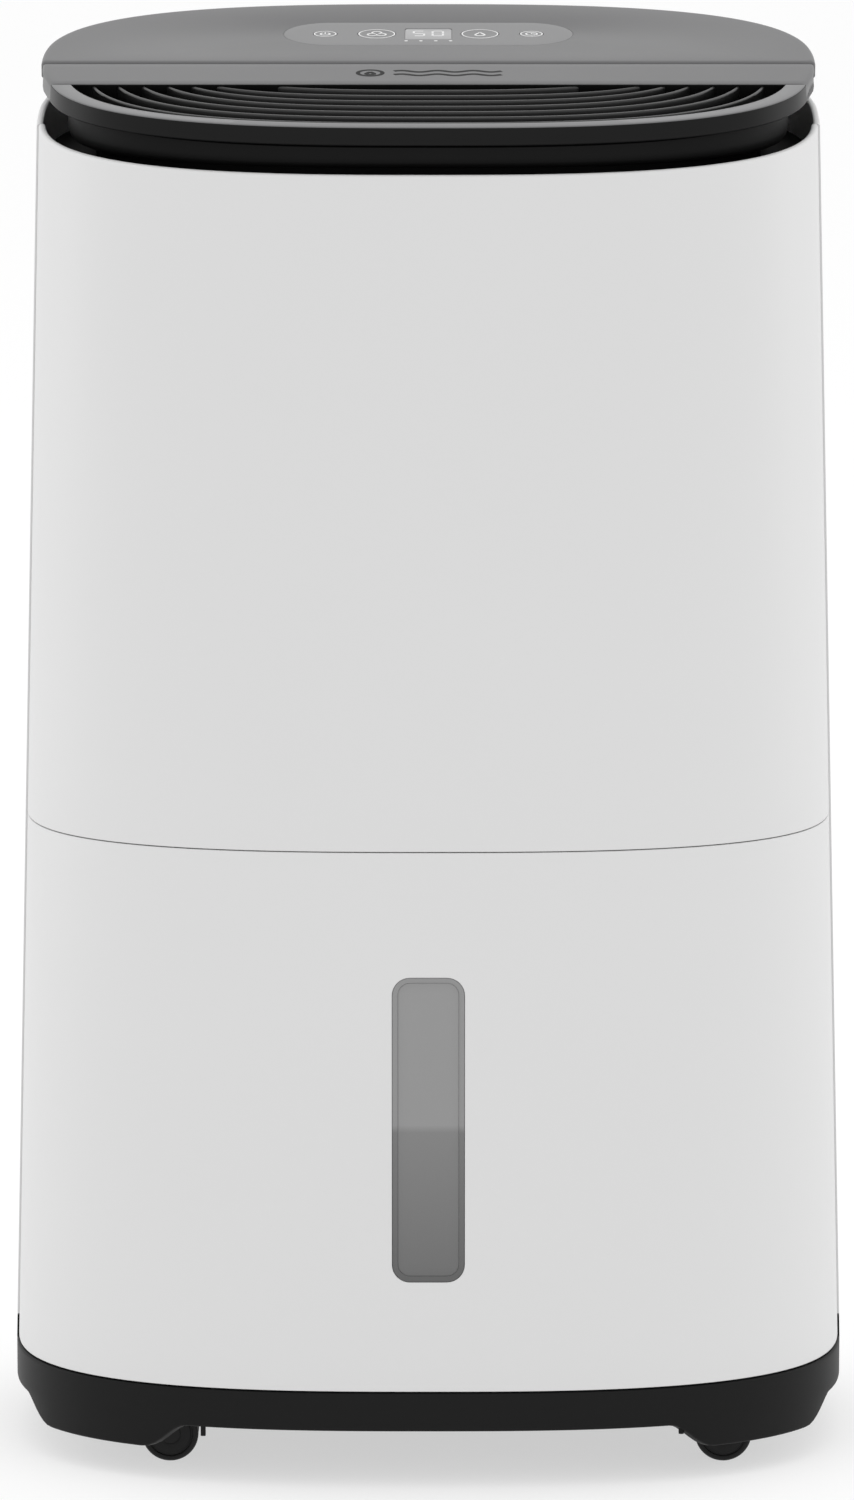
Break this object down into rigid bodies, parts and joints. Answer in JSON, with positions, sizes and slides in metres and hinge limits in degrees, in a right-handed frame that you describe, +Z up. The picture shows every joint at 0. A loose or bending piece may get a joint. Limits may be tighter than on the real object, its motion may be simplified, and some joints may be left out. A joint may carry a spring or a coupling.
{
  "type": "dehumidifier",
  "caption": "Upright compressor dehumidifier with tapered casing, pull-out water tank, lifting ribbed air outlet, touch keys, rear intake filter and castors.",
  "frame": {"origin": "floor level under the middle of the cabinet", "axes": "+Z up, front faces -Y, +X to the right seen from the front"},
  "size_m": [0.37, 0.248, 0.6291],
  "materials": {
    "white_shell": "satin moulded ABS, warm white",
    "grey_lid": "satin mid grey",
    "black_plastic": "matt black",
    "castor_tread": "matt black",
    "steel": "plain steel",
    "inner_plastic": "light grey moulded",
    "clear_tank": "frosted clear",
    "foam_float": "foamed",
    "magnet": "plated",
    "compressor_paint": "gloss black enamel",
    "mount_rubber": "matt",
    "fins": "bare fins",
    "copper": "drawn copper",
    "motor_shell": "plain",
    "circuit_board": "green laminate",
    "filter_mesh": "black nylon mesh",
    "carbon_foam": "open foam"
  },
  "bodies": {
    "cabinet": {"base_tray": "black_plastic", "case_screws": "steel", "compressor": "compressor_paint", "compressor_mounts": "mount_rubber", "condenser_fins": "fins", "condenser_tubes": "copper", "control_panel": "grey_lid", "display_board": "circuit_board", "display_module": "clear_tank", "drip_tray": "inner_plastic", "evaporator_fins": "fins", "evaporator_tubes": "copper", "fan_motor": "motor_shell", "fan_scroll": "inner_plastic", "front_housing": "white_shell", "humidity_sensor": "inner_plastic", "lid": "grey_lid", "main_board": "circuit_board", "power_inlet": "black_plastic", "rear_housing": "white_shell", "refrigerant_pipes": "copper", "run_capacitor": "motor_shell", "suction_accumulator": "compressor_paint", "tank_bay_wall": "inner_plastic", "tank_switch": "inner_plastic", "top_deck": "black_plastic"},
    "louvre": {"louvre_frame": "grey_lid", "louvre_cap": "grey_lid", "louvre_axle": "steel"},
    "fan": {"fan_impeller": "inner_plastic", "fan_shaft": "steel"},
    "filter": {"filter_frame": "black_plastic", "prefilter_mesh": "filter_mesh", "carbon_filter": "carbon_foam"},
    "drain_plug": {"drain_plug": "white_shell"},
    "tank": {"tank_front": "white_shell", "tank_tub": "clear_tank", "tank_window": "clear_tank", "float_bracket": "inner_plastic", "float_pin": "steel"},
    "tank_lid": {"tank_lid": "inner_plastic"},
    "tank_handle": {"tank_handle": "inner_plastic"},
    "tank_float": {"tank_float": "foam_float", "float_magnet": "magnet"},
    "key_power": {"key_power": "grey_lid"},
    "key_fan": {"key_fan": "grey_lid"},
    "key_humidity": {"key_humidity": "grey_lid"},
    "key_timer": {"key_timer": "grey_lid"},
    "castor_front_left": {"castor_fork_front_left": "black_plastic", "castor_axle_front_left": "steel"},
    "wheels_front_left": {"castor_wheels_front_left": "castor_tread"},
    "castor_front_right": {"castor_fork_front_right": "black_plastic", "castor_axle_front_right": "steel"},
    "wheels_front_right": {"castor_wheels_front_right": "castor_tread"},
    "castor_rear_left": {"castor_fork_rear_left": "black_plastic", "castor_axle_rear_left": "steel"},
    "wheels_rear_left": {"castor_wheels_rear_left": "castor_tread"},
    "castor_rear_right": {"castor_fork_rear_right": "black_plastic", "castor_axle_rear_right": "steel"},
    "wheels_rear_right": {"castor_wheels_rear_right": "castor_tread"}
  },
  "joints": [
    {"name": "louvre_hinge", "type": "hinge", "parent": "cabinet", "child": "louvre", "pos_m": [0, 0.00061, 0.60809], "axis": [-1, 0, 0], "range_deg": [0, 50]},
    {"name": "fan_spin", "type": "hinge", "parent": "cabinet", "child": "fan", "pos_m": [0, 0, 0.425], "axis": [0, 1, 0], "continuous": true},
    {"name": "filter_slide", "type": "slide", "parent": "cabinet", "child": "filter", "axis": [0, 1, 0], "range_m": [0, 0.06]},
    {"name": "drain_plug_pull", "type": "slide", "parent": "cabinet", "child": "drain_plug", "axis": [0, 1, 0], "range_m": [0, 0.025]},
    {"name": "tank_slide", "type": "slide", "parent": "cabinet", "child": "tank", "axis": [0, -1, 0], "range_m": [0, 0.2]},
    {"name": "tank_lid_lift", "type": "slide", "parent": "tank", "child": "tank_lid", "axis": [0, 0, 1], "range_m": [0, 0.02]},
    {"name": "tank_handle_hinge", "type": "hinge", "parent": "tank_lid", "child": "tank_handle", "pos_m": [0, -0.037, 0.257], "axis": [-1, 0, 0], "range_deg": [0, 90]},
    {"name": "float_hinge", "type": "hinge", "parent": "tank", "child": "tank_float", "pos_m": [0.115, 0.0095, 0.226], "axis": [-1, 0, 0], "range_deg": [0, 12]},
    {"name": "key_power_press", "type": "slide", "parent": "cabinet", "child": "key_power", "axis": [0, 0.1463, -0.9892], "range_m": [0, 0.0006]},
    {"name": "key_fan_press", "type": "slide", "parent": "cabinet", "child": "key_fan", "axis": [0, 0.1463, -0.9892], "range_m": [0, 0.0006]},
    {"name": "key_humidity_press", "type": "slide", "parent": "cabinet", "child": "key_humidity", "axis": [0, 0.1463, -0.9892], "range_m": [0, 0.0006]},
    {"name": "key_timer_press", "type": "slide", "parent": "cabinet", "child": "key_timer", "axis": [0, 0.1463, -0.9892], "range_m": [0, 0.0006]},
    {"name": "castor_swivel_front_left", "type": "hinge", "parent": "cabinet", "child": "castor_front_left", "pos_m": [-0.1225, -0.07, 0.03], "axis": [0, 0, 1], "continuous": true},
    {"name": "wheel_spin_front_left", "type": "hinge", "parent": "castor_front_left", "child": "wheels_front_left", "pos_m": [-0.11435, -0.07, 0.0125], "axis": [0, 1, 0], "continuous": true},
    {"name": "castor_swivel_front_right", "type": "hinge", "parent": "cabinet", "child": "castor_front_right", "pos_m": [0.1225, -0.07, 0.03], "axis": [0, 0, 1], "continuous": true},
    {"name": "wheel_spin_front_right", "type": "hinge", "parent": "castor_front_right", "child": "wheels_front_right", "pos_m": [0.13065, -0.07, 0.0125], "axis": [0, 1, 0], "continuous": true},
    {"name": "castor_swivel_rear_left", "type": "hinge", "parent": "cabinet", "child": "castor_rear_left", "pos_m": [-0.1225, 0.07, 0.03], "axis": [0, 0, 1], "continuous": true},
    {"name": "wheel_spin_rear_left", "type": "hinge", "parent": "castor_rear_left", "child": "wheels_rear_left", "pos_m": [-0.11435, 0.07, 0.0125], "axis": [0, 1, 0], "continuous": true},
    {"name": "castor_swivel_rear_right", "type": "hinge", "parent": "cabinet", "child": "castor_rear_right", "pos_m": [0.1225, 0.07, 0.03], "axis": [0, 0, 1], "continuous": true},
    {"name": "wheel_spin_rear_right", "type": "hinge", "parent": "castor_rear_right", "child": "wheels_rear_right", "pos_m": [0.13065, 0.07, 0.0125], "axis": [0, 1, 0], "continuous": true}
  ]
}
